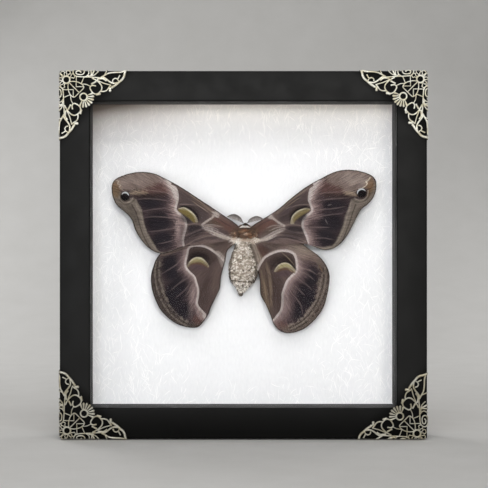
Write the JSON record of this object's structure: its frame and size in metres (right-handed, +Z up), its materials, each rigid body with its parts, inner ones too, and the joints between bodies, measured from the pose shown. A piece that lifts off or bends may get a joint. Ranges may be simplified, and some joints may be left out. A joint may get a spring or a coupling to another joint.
{
  "type": "framed moth shadow box",
  "caption": "Square black shadow-box frame with pierced brass corner brackets, a glass front and a spread silk moth pinned on white embossed paper",
  "frame": {"origin": "middle of the whole part's box in plan, on the surface it stands on", "axes": "+Z up, -Y out of the glass towards a viewer, +X to the viewer's right"},
  "size_m": [0.1816, 0.0312, 0.1816],
  "materials": {
    "black_wood": "satin",
    "clear_glass": "polished",
    "black_board": "matte",
    "pearl_paper": "satin",
    "white_board": "matte",
    "brown_board": "matte",
    "steel": "satin",
    "antique_brass": "satin",
    "wing_scales": "matte",
    "body_fur": "matte",
    "thorax_fur": "matte",
    "antenna": "matte"
  },
  "bodies": {
    "root": {"rail_top": "black_wood", "rail_left": "black_wood", "rail_bottom": "black_wood", "rail_right": "black_wood", "glass_pane": "clear_glass", "spacer_top": "black_board", "spacer_bottom": "black_board", "spacer_left": "black_board", "spacer_right": "black_board", "backing_paper": "pearl_paper", "mount_board": "white_board", "back_panel": "brown_board", "glazier_point_bottom_1": "steel", "glazier_point_bottom_2": "steel", "glazier_point_left_1": "steel", "glazier_point_left_2": "steel", "glazier_point_right_1": "steel", "glazier_point_right_2": "steel", "glazier_point_top_1": "steel", "glazier_point_top_2": "steel", "sawtooth_hanger": "steel", "hanger_nail_left": "steel", "hanger_nail_right": "steel", "bracket_top_left": "antique_brass", "bracket_top_right": "antique_brass", "bracket_bottom_left": "antique_brass", "bracket_bottom_right": "antique_brass", "forewing_left": "wing_scales", "forewing_right": "wing_scales", "hindwing_left": "wing_scales", "hindwing_right": "wing_scales", "thorax": "thorax_fur", "abdomen": "body_fur", "head": "thorax_fur", "antenna_left": "antenna", "antenna_right": "antenna", "specimen_pin": "steel"}
  },
  "joints": []
}
